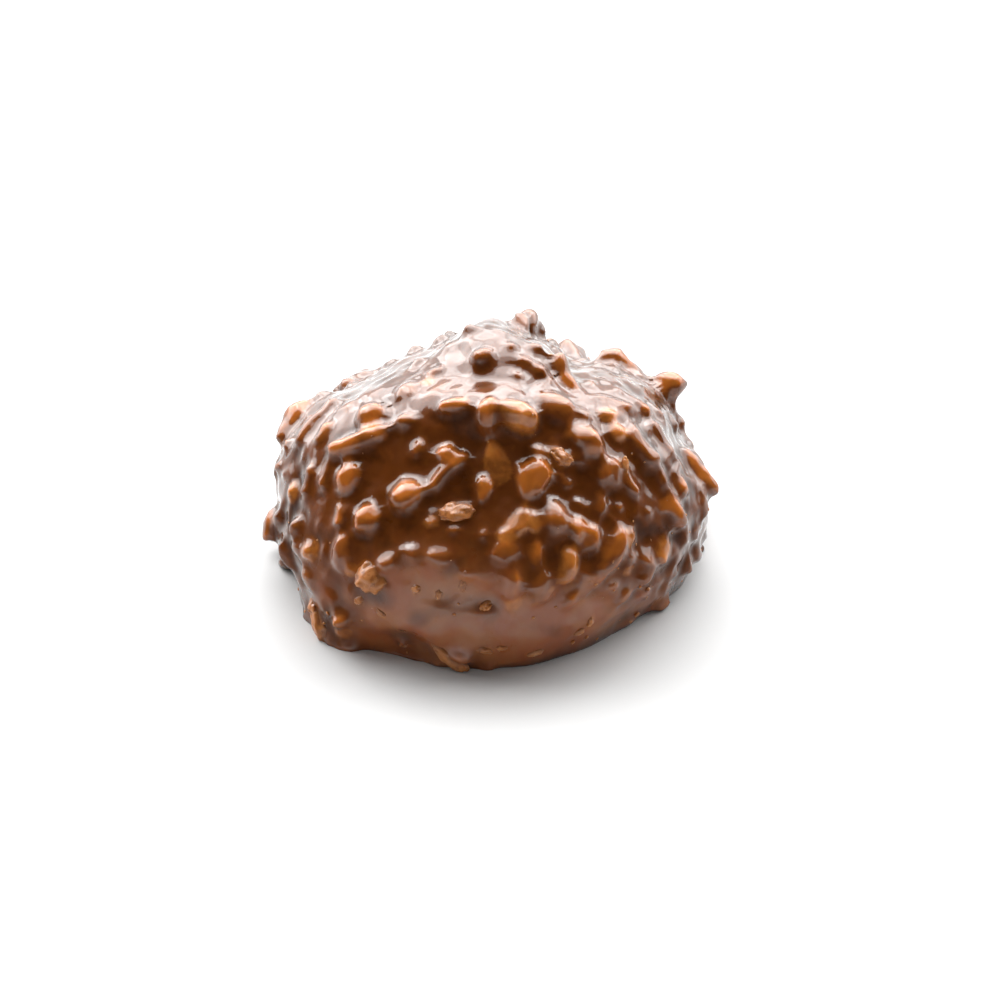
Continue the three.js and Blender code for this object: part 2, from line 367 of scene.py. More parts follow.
def value_noise(tree, coords, scale, detail, rough=0.5):
    """Noise of a number of waves to a metre."""
    texture = tree.nodes.new("ShaderNodeTexNoise")
    texture.inputs["Scale"].default_value = scale
    texture.inputs["Detail"].default_value = detail
    texture.inputs["Roughness"].default_value = rough
    tree.links.new(coords, texture.inputs["Vector"])
    return texture.outputs["Fac"]


def ramp(tree, factor, stops):
    node = tree.nodes.new("ShaderNodeValToRGB")
    while len(node.color_ramp.elements) < len(stops):
        node.color_ramp.elements.new(0.5)
    for element, (place, colour) in zip(node.color_ramp.elements, stops):
        element.position = place
        element.color = (*colour, 1)
    tree.links.new(factor, node.inputs["Fac"])
    return node.outputs["Color"]


def maths(tree, operation, a, b):
    node = tree.nodes.new("ShaderNodeMath")
    node.operation = operation
    for socket, given in zip(node.inputs, (a, b)):
        feed(tree, socket, given)
    return node.outputs[0]


def mixed(tree, share, a, b):
    """Colour a where the share is 0, and b where it is 1."""
    node = tree.nodes.new("ShaderNodeMix")
    node.data_type = "RGBA"
    for name, given in (("Factor", share), ("A", a), ("B", b)):
        feed(tree, node.inputs[name], given)
    return node.outputs["Result"]


def bumped(tree, shader, height, distance, strength):
    bump = tree.nodes.new("ShaderNodeBump")
    bump.inputs["Distance"].default_value = distance
    bump.inputs["Strength"].default_value = strength
    tree.links.new(height, bump.inputs["Height"])
    tree.links.new(bump.outputs["Normal"], shader.inputs["Normal"])


def grey(level):
    return (level,) * 3


def tinted(colour, factors):
    return tuple(min(1, part * factor) for part, factor in zip(colour, factors))


MOTTLE = 0.3  # how far the tone of the chocolate wanders
REDDER = (0.9, 0.68, 0.5)  # the blotches of the smooth chocolate
WAFER_UNDER = (1.25, 1.5, 2.2)  # a bare piece that shows through its thin edge of chocolate
TOASTED = (0.40, 0.28, 0.20)
PALER = (1.3, 1.45, 1.7)
FILM_COLOUR = (0.26, 0.088, 0.022, 1)


def chocolate_material(settings):
    """Milk chocolate, orange-brown where it lies thin over a nut, with painted shade in the hollows, painted
    light on the tops, a skirt painted lighter and redder for the floor's light, and sides away from the front
    view painted darker.
    """
    material, tree, shader = new_material("milk_chocolate")
    coords = object_place(tree)
    tone_and_shading = attribute(tree, "tone_and_shading")
    shade = maths(tree, "ADD", tone_and_shading, maths(tree, "MULTIPLY", value_noise(tree, coords, 900, 4), MOTTLE))
    # Painted shade in hollows, plain chocolate, then the orange of a thin coat over a nut, which up-facing
    # tops also reach as painted light.
    colour = ramp(tree, maths(tree, "SUBTRACT", shade, MOTTLE / 2), [
        (0.12, settings.hollow_shade), (0.36, settings.plain), (0.46, settings.plain), (0.98, settings.thin)])
    blotch = value_noise(tree, coords, 350, 3)
    # Painted light: the skirt's chocolate, lighter and redder for the light of the white floor.
    milk = ramp(tree, blotch, [(0.40, settings.milk), (0.62, tinted(settings.milk, REDDER))])
    colour = mixed(tree, attribute(tree, "milk"), colour, milk)
    crumbly = value_noise(tree, coords, 1100, 3)
    crumbly = ramp(tree, crumbly, [(0.38, grey(0.35)), (0.62, grey(0.9))])
    showing = maths(tree, "MULTIPLY", attribute(tree, "tan"), crumbly)
    colour = mixed(tree, showing, colour, (*tinted(settings.thin, WAFER_UNDER), 1))
    # Painted shade: darker chocolate on the sides turned away from the front view.
    far_side_shade = ramp(tree, blotch, [(0.40, settings.far_side_shade), (0.62, tinted(settings.far_side_shade, grey(0.7)))])
    colour = mixed(tree, attribute(tree, "far_side_shade"), colour, far_side_shade)
    tree.links.new(colour, shader.inputs["Base Color"])
    dull = ramp(tree, tone_and_shading, [(0.25, grey(0.30)), (0.6, grey(0.36))])
    uneven = maths(tree, "SUBTRACT", value_noise(tree, coords, 500, 3), 0.5)
    uneven = maths(tree, "MULTIPLY", uneven, 0.2)
    tree.links.new(maths(tree, "ADD", dull, uneven), shader.inputs["Roughness"])
    shader.inputs["IOR"].default_value = 1.18
    tree.links.new(attribute(tree, "gloss"), shader.inputs["Coat Weight"])
    shader.inputs["Coat Roughness"].default_value = 0.09
    shader.inputs["Subsurface Weight"].default_value = 0.25
    shader.inputs["Subsurface Radius"].default_value = (1.0, 0.4, 0.15)
    shader.inputs["Subsurface Scale"].default_value = 0.6 * MM
    bumped(tree, shader, value_noise(tree, coords, 1400, 3), 0.05 * MM, 0.35)
    return material


def nut_material(name, colour, roughness, grain):
    """Roasted nut or baked wafer, mottled and toasted, with a thin film of chocolate in places."""
    material, tree, shader = new_material(name)
    coords = object_place(tree)
    toast = value_noise(tree, coords, grain, 5, 0.65)
    tint = ramp(tree, toast, [
        (0.32, tinted(colour, TOASTED)), (0.45, colour), (0.55, colour), (0.70, tinted(colour, PALER))])
    patchy = maths(tree, "ADD", attribute(tree, "bare"), maths(tree, "MULTIPLY", toast, 0.8))
    bare = ramp(tree, patchy, [(0.55, grey(0)), (1.0, grey(1))])
    tree.links.new(mixed(tree, bare, FILM_COLOUR, tint), shader.inputs["Base Color"])
    shader.inputs["Roughness"].default_value = roughness
    shader.inputs["IOR"].default_value = 1.3
    shader.inputs["Coat Weight"].default_value = 0.6
    shader.inputs["Coat Roughness"].default_value = 0.08
    shader.inputs["Subsurface Weight"].default_value = 0.25
    shader.inputs["Subsurface Radius"].default_value = (1.0, 0.6, 0.3)
    shader.inputs["Subsurface Scale"].default_value = 0.6 * MM
    bumped(tree, shader, value_noise(tree, coords, grain * 2, 4, 0.6), 0.05 * MM, 0.3)
    return material


# ---------------------------------------------------------------- the coat

NUGGET_LENGTHS = (2.3 * MM, 0.8 * MM)  # from the largest to the smallest
COAT = 0.1 * MM  # what the coat adds to each side of a nugget

# Swells and hollows of the front, in the front view: place across and up from the middle of the view, half
# length, half width, turn from level in degrees, and height. Millimetres.
SWELLS = (
    (-1.5, 7.4, 5.5, 1.3, -3, 1.15),  # the edge of the shelf below the peak
    (-0.5, 4.4, 4.5, 0.9, 0, -0.5),  # the hollow under it
    (-8.5, 9.4, 3.0, 1.1, 38, 0.45),
    (-0.6, 10.0, 4.4, 1.5, 0, -0.45),  # the shelf
    (7.2, 10.6, 1.3, 2.6, -20, -0.6),  # the valley right of it
    (-11.5, 4.4, 3.4, 1.2, 12, 0.35),
    (-2.0, 0.8, 9.0, 2.8, 0, -0.9),  # the face below it
    (4.6, 2.2, 1.6, 2.6, -12, -0.3),
    (9.0, 4.6, 3.0, 1.6, -40, 0.4),
    (13.6, 3.0, 1.2, 4.2, 40, 0.35),
    (-5.6, -5.3, 2.8, 1.0, -4, 0.5),  # the brow over the skirt
    (1.4, -6.6, 2.6, 1.1, -12, 0.4),
    (7.2, -6.2, 2.2, 1.0, 12, 0.35),
    (-9.5, -8.6, 1.8, 1.6, 0, 0.3),  # soft swells of the skirt
    (-4.0, -11.0, 2.4, 1.6, 10, 0.35),
    (2.6, -10.4, 1.8, 2.0, 0, 0.3),
    (7.4, -10.2, 2.0, 1.4, 20, 0.3),
    (-0.6, -8.6, 2.4, 1.0, -6, -0.3),
    (-14.0, -10.5, 1.5, 2.2, 20, 0.5),
    (9.8, -7.6, 2.8, 1.1, 15, -0.35),
    (-2.9, 13.9, 3.0, 1.2, 10, 0.8),  # the crest
    (6.7, 12.6, 1.2, 1.4, 0, -0.9),
    (-12.0, 9.2, 1.9, 1.1, 35, -0.8),  # the left shoulder
    (12.3, 11.2, 1.2, 0.9, 0, -0.6),
    (16.2, 5.0, 1.0, 2.6, 25, -0.8),  # the right flank
    (-17.0, -7.8, 1.3, 1.8, 20, -0.6),  # the left foot
    (-18.5, -4.3, 0.8, 1.2, 0, 0.6),
    (-8.2, -13.3, 2.6, 1.2, -8, -1.4),  # the notch in the foot
    (12.0, -11.0, 4.0, 1.0, 25, -0.5),
)

# Where the chocolate lies smooth: on the skirt and the shelf it is thick, on the face and shoulder it isn't.
SKIRT = ((-4.0, -9.8, 6.0, 2.6, -6), (5.5, -10.9, 5.5, 1.5, 12))
SHELF = ((-0.5, 10.0, 4.6, 1.9, 0), (-2.0, 13.6, 4.0, 1.2, 15))
FACE = ((-5.0, 2.2, 5.0, 3.6, -15), (-11.5, 7.4, 3.4, 1.4, 20), (14.8, 2.5, 1.6, 4.5, 35))

# Where the chocolate ran down from the peak in folds.
FOLDS = ((-6.2, 10.8, 4.6, 2.0, 33), (3.5, 9.6, 2.4, 1.6, -30), (14.5, 4.0, 1.4, 3.6, 35))

# The pieces that show at the front, by shape and by how thinly they are coated. Each row: place across and
# up from the middle of the view, length, width, turn from level in degrees, and share of the width that
# stands proud. Millimetres.
THICK, THIN, GLAZED, BARE = range(4)
SEEN = {
    ("lump", THICK): (
        (-1.0, 11.5, 1.9, 1.7, 0, 0.50),
        (2.7, 14.3, 2.3, 1.7, 80, 0.90),
        (3.5, 13.9, 1.7, 1.3, -50, 0.80),
        (-17.5, 5.3, 1.9, 1.5, 80, 0.50),
        (11.6, 10.2, 2.7, 2.3, -30, 0.50),
        (7.6, 9.5, 2.1, 1.9, 0, 0.30),
        (-7.2, 5.8, 1.6, 1.5, 0, 0.50),
        (5.2, -1.8, 3.0, 2.3, 110, 0.42),
        (9.3, 1.7, 2.8, 2.2, 80, 0.50),
        (-12.6, -4.9, 3.1, 1.8, 85, 0.50),
        (-15.4, -6.9, 2.2, 2.0, 0, 0.45),
        (3.5, -7.1, 2.3, 1.8, 60, 0.50),
        (-4.4, 12.2, 1.5, 1.2, 30, 0.40),
        (-8.9, 11.2, 1.6, 1.2, 40, 0.40),
        (-1.9, 13.2, 1.4, 1.2, 20, 0.40),
        (-3.7, 12.7, 1.0, 0.7, 40, 0.45),
        (-6.7, 12.3, 1.3, 0.8, 30, 0.45),
        (0.5, 13.4, 1.6, 0.8, -10, 0.25),
        (1.3, 12.4, 1.4, 0.9, 10, 0.25),
        (4.0, 12.7, 1.6, 1.0, -20, 0.30),
        (1.8, 10.2, 1.0, 0.8, 0, 0.45),
        (-6.5, 10.6, 1.8, 0.8, 40, 0.45),
        (-4.9, 10.2, 1.8, 0.7, 25, 0.45),
        (-10.8, 8.1, 1.6, 1.0, -50, 0.40),
        (-7.1, 8.2, 3.0, 2.0, 50, 0.30),
        (8.7, 11.0, 1.2, 0.9, 30, 0.45),
        (0.9, -4.5, 2.4, 1.7, 15, 0.62),
        (-12.2, 7.4, 2.6, 1.5, 10, 0.35),
        (8.9, -0.7, 2.6, 1.3, 80, 0.45),
        (7.1, 6.3, 1.8, 1.0, -70, 0.50),
        (-8.9, -5.6, 1.8, 1.4, 20, 0.40),
        (-12.2, -12.7, 2.4, 1.5, 0, 0.45),
        (-7.5, -10.8, 3.0, 2.6, 0, 0.15),
        (3.4, 3.8, 1.2, 0.8, -20, 0.55),
        (4.1, 3.3, 0.9, 0.6, -40, 0.55),
        (-13.0, -2.2, 0.8, 0.7, 0, 0.60),
        (6.6, 9.0, 1.2, 0.8, 20, 0.40),
    ),
    ("lump", THIN): (
        (14.3, 9.2, 2.3, 2.8, 0, 0.85),
        (3.9, -8.2, 2.0, 1.0, 35, 0.60),
        (6.2, -8.6, 1.8, 1.1, 40, 0.55),
        (10.6, -8.4, 2.0, 1.2, 30, 0.55),
        (-2.2, -6.3, 1.6, 1.2, 10, 0.40),
        (-10.1, 6.4, 2.4, 2.1, 20, 0.60),
        (-12.3, 1.4, 2.6, 2.0, 75, 0.60),
        (-7.6, 0.0, 2.8, 2.4, 20, 0.60),
        (-1.0, 0.4, 2.6, 1.5, 90, 0.55),
        (3.2, 1.5, 3.6, 2.6, 65, 0.58),
        (7.3, 4.4, 3.0, 2.2, -35, 0.60),
        (-4.1, 3.6, 1.7, 1.4, 0, 0.55),
        (-4.3, -5.1, 2.4, 1.6, -8, 0.35),
        (-6.8, -4.7, 2.2, 1.1, -5, 0.35),
        (7.9, -3.7, 2.3, 1.3, 70, 0.60),
        (-6.6, 3.7, 2.2, 1.4, 60, 0.30),
        (-17.8, 2.4, 1.2, 1.0, 0, 0.55),
        (10.4, -1.0, 0.9, 0.7, 80, 0.50),
        (-1.0, -3.4, 0.9, 0.8, 0, 0.50),
        (-3.5, -3.0, 1.3, 1.1, 0, 0.25),
        (8.8, -7.9, 3.4, 1.4, 5, 0.20),
        (-12.4, -10.2, 1.7, 1.2, 20, 0.50),
        (-8.2, -12.8, 1.3, 1.1, 90, 0.60),
        (5.7, -6.7, 0.8, 0.8, 0, 0.60),
    ),
    ("chunk", THICK): (
        (5.0, 7.0, 3.6, 2.6, -40, 0.55),
        (-15.0, 9.0, 1.6, 1.3, 30, 0.40),
        (3.3, 12.2, 1.9, 1.2, 10, 0.35),
        (15.3, 6.2, 2.2, 1.4, -55, 0.45),
        (-13.3, -12.0, 1.8, 1.5, 100, 0.45),
        (-17.3, -5.0, 2.6, 1.2, 100, 0.50),
    ),
    ("chunk", THIN): (
        (9.8, 11.5, 2.9, 1.5, 2, 0.90),
        (-16.6, 7.0, 2.8, 2.3, 50, 0.50),
        (-18.6, -2.4, 2.7, 1.6, 90, 0.60),
        (-10.7, -1.9, 2.4, 2.2, 10, 0.60),
        (-3.1, 6.9, 2.6, 1.3, -5, 0.65),
        (-17.0, 4.3, 1.6, 1.2, 70, 0.50),
        (-16.5, -2.5, 1.6, 1.1, 60, 0.60),
        (6.9, -2.8, 1.9, 1.2, 80, 0.62),
        (13.9, -9.1, 1.6, 1.0, 30, 0.90),
        (16.0, -5.6, 2.2, 1.2, -60, 0.50),
        (15.3, 0.7, 1.9, 1.3, 90, 0.50),
        (-0.5, 6.2, 3.0, 1.6, 80, 0.60),
        (-3.0, -13.4, 2.2, 1.2, -20, 0.60),
    ),
    ("sliver", THICK): (
        (11.9, 3.9, 4.2, 1.9, -48, 0.50),
        (-14.3, 7.0, 3.0, 1.2, 48, 0.60),
        (-15.7, 5.2, 2.8, 1.1, 50, 0.60),
        (14.0, 4.6, 4.0, 1.2, -50, 0.45),
        (13.2, 2.0, 3.6, 1.3, -55, 0.45),
        (11.0, 1.2, 2.6, 1.1, -60, 0.45),
        (13.4, 7.0, 2.8, 1.0, -45, 0.45),
        (3.4, 10.6, 3.4, 1.0, -28, 0.50),
        (-13.9, 1.9, 2.8, 1.1, 60, 0.60),
        (-15.6, 1.2, 2.6, 1.1, 65, 0.60),
        (7.2, -0.8, 1.8, 0.8, -20, 0.40),
        (9.4, 7.5, 3.6, 0.9, -8, 0.45),
    ),
    ("sliver", THIN): (
        (-11.1, 4.4, 5.6, 1.35, 12, 0.80),
        (11.3, 7.7, 3.6, 1.1, -27, 0.60),
        (14.6, -1.0, 3.8, 1.5, -50, 0.60),
        (17.0, 2.1, 5.0, 1.6, -48, 0.60),
        (-14.1, 5.1, 2.0, 1.0, 60, 0.50),
        (5.7, 10.3, 3.4, 1.3, 108, 1.10),
        (8.4, -6.6, 2.6, 1.0, 60, 0.60),
        (7.4, -7.4, 2.2, 1.0, 70, 0.50),
        (12.4, -6.4, 2.6, 1.1, 60, 0.60),
        (1.3, -7.0, 3.4, 1.1, 85, 0.62),
        (3.4, -4.9, 2.4, 1.0, 90, 0.60),
        (9.6, -4.6, 4.2, 1.5, 52, 0.60),
        (-4.1, 2.1, 4.4, 1.1, 46, 0.55),
    ),
    ("flake", THICK): (
        (2.4, 14.7, 2.4, 1.2, 115, 1.10),
        (3.2, 14.7, 2.2, 1.1, 70, 1.10),
        (5.2, 12.8, 2.0, 1.2, -50, 0.50),
        (17.0, -0.6, 3.2, 1.8, 80, 0.55),
    ),
    ("flake", GLAZED): (
        (0.2, 2.5, 4.4, 1.8, -70, 0.48),
    ),
    ("sliver", GLAZED): (
        (1.7, -2.6, 3.4, 1.3, 45, 0.65),
        (3.2, -2.2, 1.6, 0.8, 90, 0.55),
        (5.9, -5.8, 2.8, 1.1, 75, 0.70),
    ),
    ("chunk", GLAZED): (
        (1.9, 6.3, 3.2, 2.2, -30, 0.62),
        (13.9, -4.5, 2.5, 1.7, 65, 0.60),
        (11.0, -3.5, 1.7, 1.2, 60, 0.62),
    ),
    ("lump", GLAZED): (
        (-15.2, -4.6, 1.9, 1.6, 30, 0.55),
        (-17.0, 0.3, 1.6, 1.1, 80, 0.50),
        (8.9, 6.4, 1.3, 1.0, 0, 0.60),
        (9.8, 5.0, 1.5, 1.0, -60, 0.60),
    ),
    ("crumb", GLAZED): (
        (-5.4, -2.3, 1.1, 0.6, 10, 0.60),
        (-11.8, -6.1, 0.9, 0.8, 60, 0.60),
        (1.5, -8.8, 1.4, 0.9, 80, 0.50),
        (4.1, -7.8, 1.2, 0.6, 35, 0.55),
        (-5.4, 9.2, 1.2, 0.8, -10, 0.60),
        (11.0, -6.1, 0.8, 0.7, 60, 0.55),
        (-12.5, -11.3, 1.0, 0.8, 0, 0.50),
    ),
    ("flake", BARE): (
        (10.5, 1.8, 2.3, 0.7, 90, 0.70),
        (-3.9, -13.5, 3.6, 1.4, -35, 0.50),
    ),
    ("crumb", BARE): (
        (-10.2, -6.8, 2.5, 2.2, -10, 0.50),
        (-3.3, -1.4, 2.9, 1.4, 5, 0.50),
        (5.5, 3.2, 1.7, 1.2, -40, 0.70),
        (-15.1, -9.2, 1.0, 1.3, 60, 0.50),
        (-14.3, -10.8, 3.0, 1.6, -60, 0.40),
        (-8.1, -13.1, 0.8, 0.7, 0, 0.70),
        (-2.7, -7.5, 1.0, 0.5, 90, 0.42),
        (-6.5, -7.7, 0.6, 0.5, 0, 0.42),
        (-0.8, -9.3, 0.9, 0.6, 20, 0.42),
        (-4.7, -8.2, 0.8, 0.5, 80, 0.42),
        (-9.4, -9.7, 0.8, 0.5, -60, 0.42),
        (-11.2, -8.7, 0.7, 0.5, 40, 0.42),
        (6.9, -11.3, 0.8, 0.5, 40, 0.42),
        (-0.9, -12.9, 1.2, 0.5, -10, 0.42),
        (3.3, -13.0, 1.3, 0.5, 10, 0.42),
        (0.6, -12.6, 0.8, 0.5, 10, 0.42),
        (7.8, -10.4, 0.7, 0.5, 60, 0.42),
    ),
}


def sight_line(across, up):
    return (AIM + (ACROSS * across + UPWARDS * up) * MM - EYE).normalized()


SEARCH = 30 * MM  # how far before and behind the aim the core is looked for
STEP = 0.1 * MM


def seen_at(across, up):
    """Where a sight line of the front view meets the core, or comes nearest to it, and how far off it is."""
    reach = np.arange(EYE_DISTANCE - SEARCH, EYE_DISTANCE + SEARCH, STEP)[:, None]
    points = np.array(EYE) + reach * np.array(sight_line(across, up))
    over = outside(points)
    inside = np.flatnonzero(over <= 0)
    return Vector(points[inside[0] if len(inside) else over.argmin()]), max(0, over.min())


def add_seen(bm, shapes, kind, rows, thickness, coat, lift):
    """Adds pieces of the front view to a mesh, thickened by a coat and lifted off the core."""
    for across, up, length, width, turn, proud in rows:
        place, off = seen_at(across, up)
        out = core_out(place)
        # A piece whose sight line misses the core is drawn in until it touches it.
        rise = (proud - 0.5) * width * MM - max(0, off - 0.2 * width * MM) + lift
        place -= downhill(place) * SAG * max(0, rise)
        facing = (out + TO_EYE).normalized()
        size = Vector((length, width, width * thickness)) * MM + Vector((1, 1, 1)) * 2 * coat
        shapes.add(bm, kind, size, place + out * rise, facing, ACROSS, turn)


def add_coated(bm, shapes, coating, thickness, coat, lift):
    """Adds the pieces of every shape that are coated in one way."""
    for (kind, how), rows in SEEN.items():
        if how == coating:
            add_seen(bm, shapes, kind, rows, thickness, coat, lift)


def smooth_core(bm):
    core = bmesh.ops.create_icosphere(bm, subdivisions=6, radius=1.0)["verts"]
    towards = np.array([vert.co.normalized() for vert in core])
    for vert, reach in zip(core, core_radius(towards)):
        vert.co = HEART + vert.co.normalized() * reach


SLANTED_FROM = 6 * MM  # right of this most pieces slant down to the right
SLANT = (-50, 30)  # the usual turn in degrees, and how far it wanders


def rubble(bm, shapes, count, seed):
    """Nut pieces of falling size under the coat, higher on the sides that the front view doesn't show."""
    rng = random.Random(seed)
    for k in range(count):
        share = k / count
        length = (NUGGET_LENGTHS[0] * (1 - share) + NUGGET_LENGTHS[1] * share) * rng.uniform(0.8, 1.2)
        towards = Vector((rng.uniform(-1, 1), rng.uniform(-1, 1), rng.uniform(-0.3, 1))).normalized()
        place = core_point(towards)
        out = core_out(place)
        width = length * rng.uniform(0.5, 0.8)
        smooth = within(SHELF, np.array([place]))[0] + 0.55 * within(SKIRT + FACE, np.array([place]))[0]
        unseen = min(1, max(0, 0.6 - 2 * out.dot(TO_EYE)))
        # Low in smooth chocolate and on the top, and high on the sides that the front view doesn't show.
        lift = width * (rng.uniform(0.05, 0.42) - 0.9 * smooth + 0.5 * unseen - 0.15 * out.z * (1 - unseen))
        size = (length + 2 * COAT, width + 2 * COAT, width + 2 * COAT)
        level = Vector((-out.y, out.x, 0)).normalized()
        turn = rng.gauss(*SLANT) if place.x > SLANTED_FROM else rng.uniform(0, 180)
        kind = rng.choice(("lump", "lump", "chunk", "sliver"))
        shapes.add(bm, kind, size, place + out * (lift - width / 2), out, level, turn)


def seen_place(points):
    """Places of points across and up from the middle of the front view in millimetres, and their nearness."""
    from_aim = points - np.array(AIM)
    near = from_aim @ np.array(TO_EYE)
    shrink = EYE_DISTANCE / (EYE_DISTANCE - near) / MM
    return from_aim @ np.array(ACROSS) * shrink, from_aim @ np.array(UPWARDS) * shrink, near / MM


def patch(place, right, high, long, wide, turn):
    """1 in the middle of a patch of the front view, falling to 0 outside it."""
    across, up, near = place
    c, s = math.cos(math.radians(turn)), math.sin(math.radians(turn))
    along = ((across - right) * c + (up - high) * s) / long
    aside = ((up - high) * c - (across - right) * s) / wide
    return np.exp(-0.5 * (along ** 2 + aside ** 2)) * rising(near, -8, -4)


def frontness(points):
    """1 on the side of the mound that the front view shows, falling to 0 behind it."""
    return rising(seen_place(points)[2], -5, -1)


def swelling(points):
    """How far the form swells out at each point, in metres."""
    place = seen_place(points)
    return sum(height * MM * patch(place, *where) for *where, height in SWELLS)


def within(patches, points):
    """1 within patches of the front view, 0 elsewhere."""
    place = seen_place(points)
    return np.clip(sum(1.3 * patch(place, *where) for where in patches), 0, 1)


def lumpiness(point):
    """Uneven height of the whole mound at a point, from noise of 260, 520 and 1000 waves to a metre."""
    broad = noise.noise(point * 260 + Vector((3, 1, 7)))
    ridged = 0.5 - abs(noise.noise(point * 520 + Vector((9, 4, 2))))
    fine = noise.noise(point * 1000)
    return (0.45 * broad + 0.45 * ridged + 0.16 * fine) * MM


SAG = 0.25  # how far what stands out of the front leans downhill, as a share of its height
SETTLED = 0.12  # how much lower the chocolate leaves what faces the front, as a share of its height
FOOT = 3 * MM  # below this height the mound gets more even towards its foot
DRAWN_IN = 0.1 * MM  # the pooled chocolate thickens the mound, so all of it is moved in by this


def downhill(point):
    """The way down over the mound at a point, of length 1 on its sides and 0 on its top."""
    out = (point - HEART).normalized()
    return out * out.z - Vector((0, 0, 1))


def swell(bm):
    """Moves a mesh in or out with the swells and the lumpiness, and lets what stands out sag and settle."""
    points = np.array([vert.co for vert in bm.verts])
    proud = np.maximum(0, outside(points)) * frontness(points)
    smooths = within(SKIRT + SHELF + FACE, points)
    for vert, height, smooth, over in zip(bm.verts, swelling(points), smooths, proud):
        vert.co += downhill(vert.co) * SAG * over
        out = (vert.co - HEART).normalized()
        height -= SETTLED * over * min(1, max(0, 2.5 * out.dot(TO_EYE) - 0.25))
        free = min(1.0, vert.co.z / FOOT)
        uneven = lumpiness(vert.co) * (0.4 + 0.6 * free) * (1 - 0.4 * smooth)
        vert.co += out * (height + uneven - DRAWN_IN)


def modified(piece, name, kind, **values):
    modifier = piece.modifiers.new(name, kind)
    for key, value in values.items():
        setattr(modifier, key, value)


SUNK = 0.4 * MM  # the solid's own core lies this far under the smooth one


def rounded_solid():
    """The solid's mesh with its pieces rounded, and those of the front, which are placed anew, sunk."""
    bm = bmesh.new()
    bm.from_mesh(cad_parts[CAD_NODE].data)
    bmesh.ops.remove_doubles(bm, verts=bm.verts, dist=1e-6)
    mesh = bpy.data.meshes.new("solid")
    bm.to_mesh(mesh)
    bm.free()
    piece = new_object("solid", mesh)
    modified(piece, "even", "REMESH", mode="VOXEL", voxel_size=0.3 * MM)
    modified(piece, "round", "SMOOTH", factor=0.5, iterations=6)
    modified(piece, "fill", "DISPLACE", strength=COAT, mid_level=0)
    applied(piece)
    points = vertex_array(piece.data)
    height = outside(points)
    kept = np.where(height > 0, height * (1 - frontness(points)), height)
    kept -= SUNK * (1 - np.clip(kept / SUNK, 0, 1))
    out = points - np.array(HEART)
    out /= np.linalg.norm(out, axis=1)[:, None]
    points += out * (kept - height)[:, None]
    piece.data.vertices.foreach_set("co", points.ravel())
    return piece


def taken_into(bm, piece):
    """Adds an object's mesh to a mesh and deletes the object."""
    bm.from_mesh(piece.data)
    mesh = piece.data
    bpy.data.objects.remove(piece)
    bpy.data.meshes.remove(mesh)


def surface_from(bm, first):
    """A search tree over the pieces of a mesh from a given vertex on."""
    part = bm.copy()
    part.verts.ensure_lookup_table()
    bmesh.ops.delete(part, geom=part.verts[:first], context="VERTS")
    tree = BVHTree.FromBMesh(part)
    part.free()
    return tree


THICK_SEED, THIN_SEED = 5, 7  # of the nuggets that are thickly and thinly coated
GLAZE = 0.06 * MM  # the coat over what shows through it
BEDDED = 0.1 * MM  # how far the coat's own form of a bare piece is sunk, so that the piece shows


def coat_base(settings, shapes):
    """The coat's first skin, and what of it covers nuts thinly and bare pieces.

    It goes over the core, the solid's pieces and the nuggets, and chocolate pools between them.
    """
    bm = bmesh.new()
    taken_into(bm, rounded_solid())
    smooth_core(bm)
    rubble(bm, shapes, settings.nuggets, THICK_SEED)
    add_coated(bm, shapes, THICK, 1.0, COAT, 0)
    thin_from = len(bm.verts)
    rubble(bm, shapes, settings.nuggets // 3, THIN_SEED)
    add_coated(bm, shapes, THIN, 1.0, COAT, 0)
    bare_from = len(bm.verts)
    add_coated(bm, shapes, GLAZED, 1.0, GLAZE, 0)
    add_coated(bm, shapes, BARE, 0.9, 0, -BEDDED)
    swell(bm)
    nuts, bare = surface_from(bm, thin_from), surface_from(bm, bare_from)
    mesh = bpy.data.meshes.new("chocolate_coat")
    bm.to_mesh(mesh)
    bm.free()
    piece = new_object("chocolate_coat", mesh)
    grain = settings.grain * 1.0
    modified(piece, "one skin", "REMESH", mode="VOXEL", voxel_size=grain)
    modified(piece, "flood", "DISPLACE", strength=settings.pool, mid_level=0)
    modified(piece, "flooded skin", "REMESH", mode="VOXEL", voxel_size=grain)
    modified(piece, "settle", "SMOOTH", factor=0.5, iterations=settings.melt)
    modified(piece, "drain", "DISPLACE", strength=-settings.pool, mid_level=0)
    modified(piece, "melt", "SMOOTH", factor=0.5, iterations=settings.melt)
    applied(piece)
    return piece, nuts, bare


# Where the noise is read for the three parts of a warp. Blender's own noise vector differs from run to run.
WARP_READS = (Vector((0, 0, 0)), Vector((31, 7, 3)), Vector((5, 43, 17)))
WARPS, WAVES, FINE_WAVES = 300, 620, 1500  # to a metre
FOLD_RUN = (0.82, 0.57)  # the way the folds run in the front view, across and up


def ripple(mesh, height):
    """Waves of set chocolate, and the long folds where it ran down from the peak."""
    normals = normal_array(mesh)
    points = vertex_array(mesh)
    across, up, _ = place = seen_place(points)
    folds = sum(patch(place, *where) for where in FOLDS)
    for vert, normal, right, high, fold in zip(mesh.vertices, normals, across, up, folds):
        warp = Vector([noise.noise(vert.co * WARPS + shift) for shift in WARP_READS])
        wave = noise.noise(vert.co * WAVES + warp * 1.2) + 0.2 * noise.noise(vert.co * FINE_WAVES)
        if fold > 0.02:
            along = FOLD_RUN[0] * right + FOLD_RUN[1] * high
            aside = FOLD_RUN[0] * high - FOLD_RUN[1] * right
            wave += 3.0 * fold * noise.noise(Vector((along * 0.3, aside * 0.9 + warp.x, warp.y)))
        vert.co += Vector(normal) * (height * wave)


